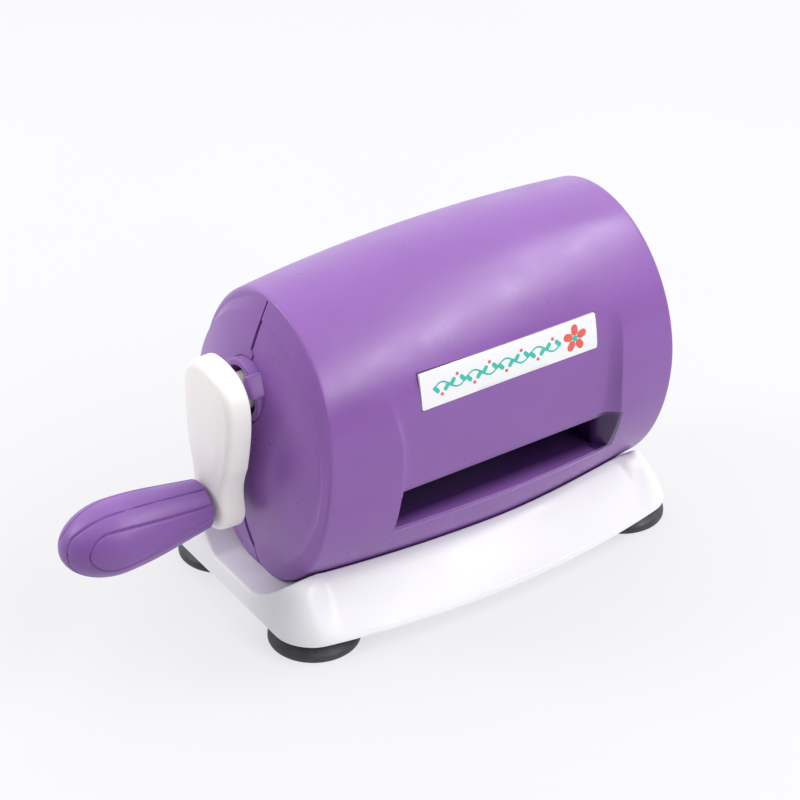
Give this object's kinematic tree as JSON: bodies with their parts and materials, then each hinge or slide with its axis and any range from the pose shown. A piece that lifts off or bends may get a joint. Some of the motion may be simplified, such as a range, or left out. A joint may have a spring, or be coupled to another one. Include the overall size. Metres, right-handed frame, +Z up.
{
  "type": "hand-cranked die cutting machine",
  "caption": "Hand-cranked tabletop die cutting machine: purple barrel housing on a low white base with suction feet, feed slots front and rear, geared rollers inside, side crank with grip.",
  "frame": {"origin": "on the table, below the centre of the machine's bounding box, crank and grip included", "axes": "+X along the rollers, away from the crank; +Y from the infeed side to the rear; +Z up"},
  "size_m": [0.2808, 0.133, 0.1505],
  "materials": {
    "purple_plastic": "satin, fine grain",
    "white_plastic": "satin",
    "arm_plastic": "satin, warm white",
    "foot_rubber": "matt",
    "roller_steel": "ground",
    "plate_steel": "zinc plated",
    "screw_steel": "bright",
    "gear_plastic": "natural nylon",
    "bush_bronze": "sintered bronze"
  },
  "bodies": {
    "housing": {"base_shell": "white_plastic", "bottom_cover": "white_plastic", "cover_screw_front_left": "screw_steel", "cover_screw_front_right": "screw_steel", "cover_screw_rear_left": "screw_steel", "cover_screw_rear_right": "screw_steel", "crank_bushing": "bush_bronze", "crank_collar": "purple_plastic", "frame_screw_front_left": "screw_steel", "frame_screw_front_right": "screw_steel", "frame_screw_rear_left": "screw_steel", "frame_screw_rear_right": "screw_steel", "front_feed_chute": "purple_plastic", "front_left_foot": "foot_rubber", "front_left_tie_nut": "screw_steel", "front_right_foot": "foot_rubber", "front_right_tie_nut": "screw_steel", "front_shell": "purple_plastic", "front_tie_rod": "screw_steel", "housing_screw_front_left": "screw_steel", "housing_screw_front_right": "screw_steel", "housing_screw_rear_left": "screw_steel", "housing_screw_rear_right": "screw_steel", "label_plate": "white_plastic", "left_side_plate": "plate_steel", "lower_left_bushing": "bush_bronze", "lower_right_bushing": "bush_bronze", "rear_feed_chute": "purple_plastic", "rear_left_foot": "foot_rubber", "rear_left_tie_nut": "screw_steel", "rear_right_foot": "foot_rubber", "rear_right_tie_nut": "screw_steel", "rear_shell": "purple_plastic", "rear_tie_rod": "screw_steel", "right_side_plate": "plate_steel", "shell_screw_left": "screw_steel", "shell_screw_right": "screw_steel", "upper_left_bushing": "bush_bronze", "upper_right_bushing": "bush_bronze"},
    "crank": {"crank_arm": "arm_plastic", "crank_shaft": "screw_steel", "crank_roll_pin": "screw_steel", "drive_pinion": "roller_steel", "crank_shaft_clip": "screw_steel", "handle_spindle": "screw_steel"},
    "handle": {"handle_grip": "purple_plastic", "grip_sleeve": "white_plastic"},
    "upper_roller_set": {"upper_roller": "roller_steel", "upper_drive_gear": "gear_plastic", "upper_sync_gear": "gear_plastic", "upper_left_clip": "screw_steel", "upper_right_clip": "screw_steel"},
    "lower_roller_set": {"lower_roller": "roller_steel", "lower_sync_gear": "gear_plastic", "lower_left_clip": "screw_steel", "lower_right_clip": "screw_steel"}
  },
  "joints": [
    {"name": "crank_turn", "type": "hinge", "parent": "housing", "child": "crank", "pos_m": [-0.06065, 0, 0.1055], "axis": [1, 0, 0], "continuous": true},
    {"name": "upper_roller_turn", "type": "hinge", "parent": "housing", "child": "upper_roller_set", "pos_m": [0.03835, 0, 0.0755], "axis": [1, 0, 0], "continuous": true},
    {"name": "lower_roller_turn", "type": "hinge", "parent": "housing", "child": "lower_roller_set", "pos_m": [0.03835, 0, 0.0415], "axis": [1, 0, 0], "continuous": true},
    {"name": "handle_spin", "type": "hinge", "parent": "crank", "child": "handle", "pos_m": [-0.07425, 0, 0.0575], "axis": [1, 0, 0], "continuous": true}
  ],
  "couplings": [
    {"joint": "upper_roller_turn", "follows": "crank_turn", "ratio": -0.42857},
    {"joint": "lower_roller_turn", "follows": "crank_turn", "ratio": 0.42857}
  ]
}
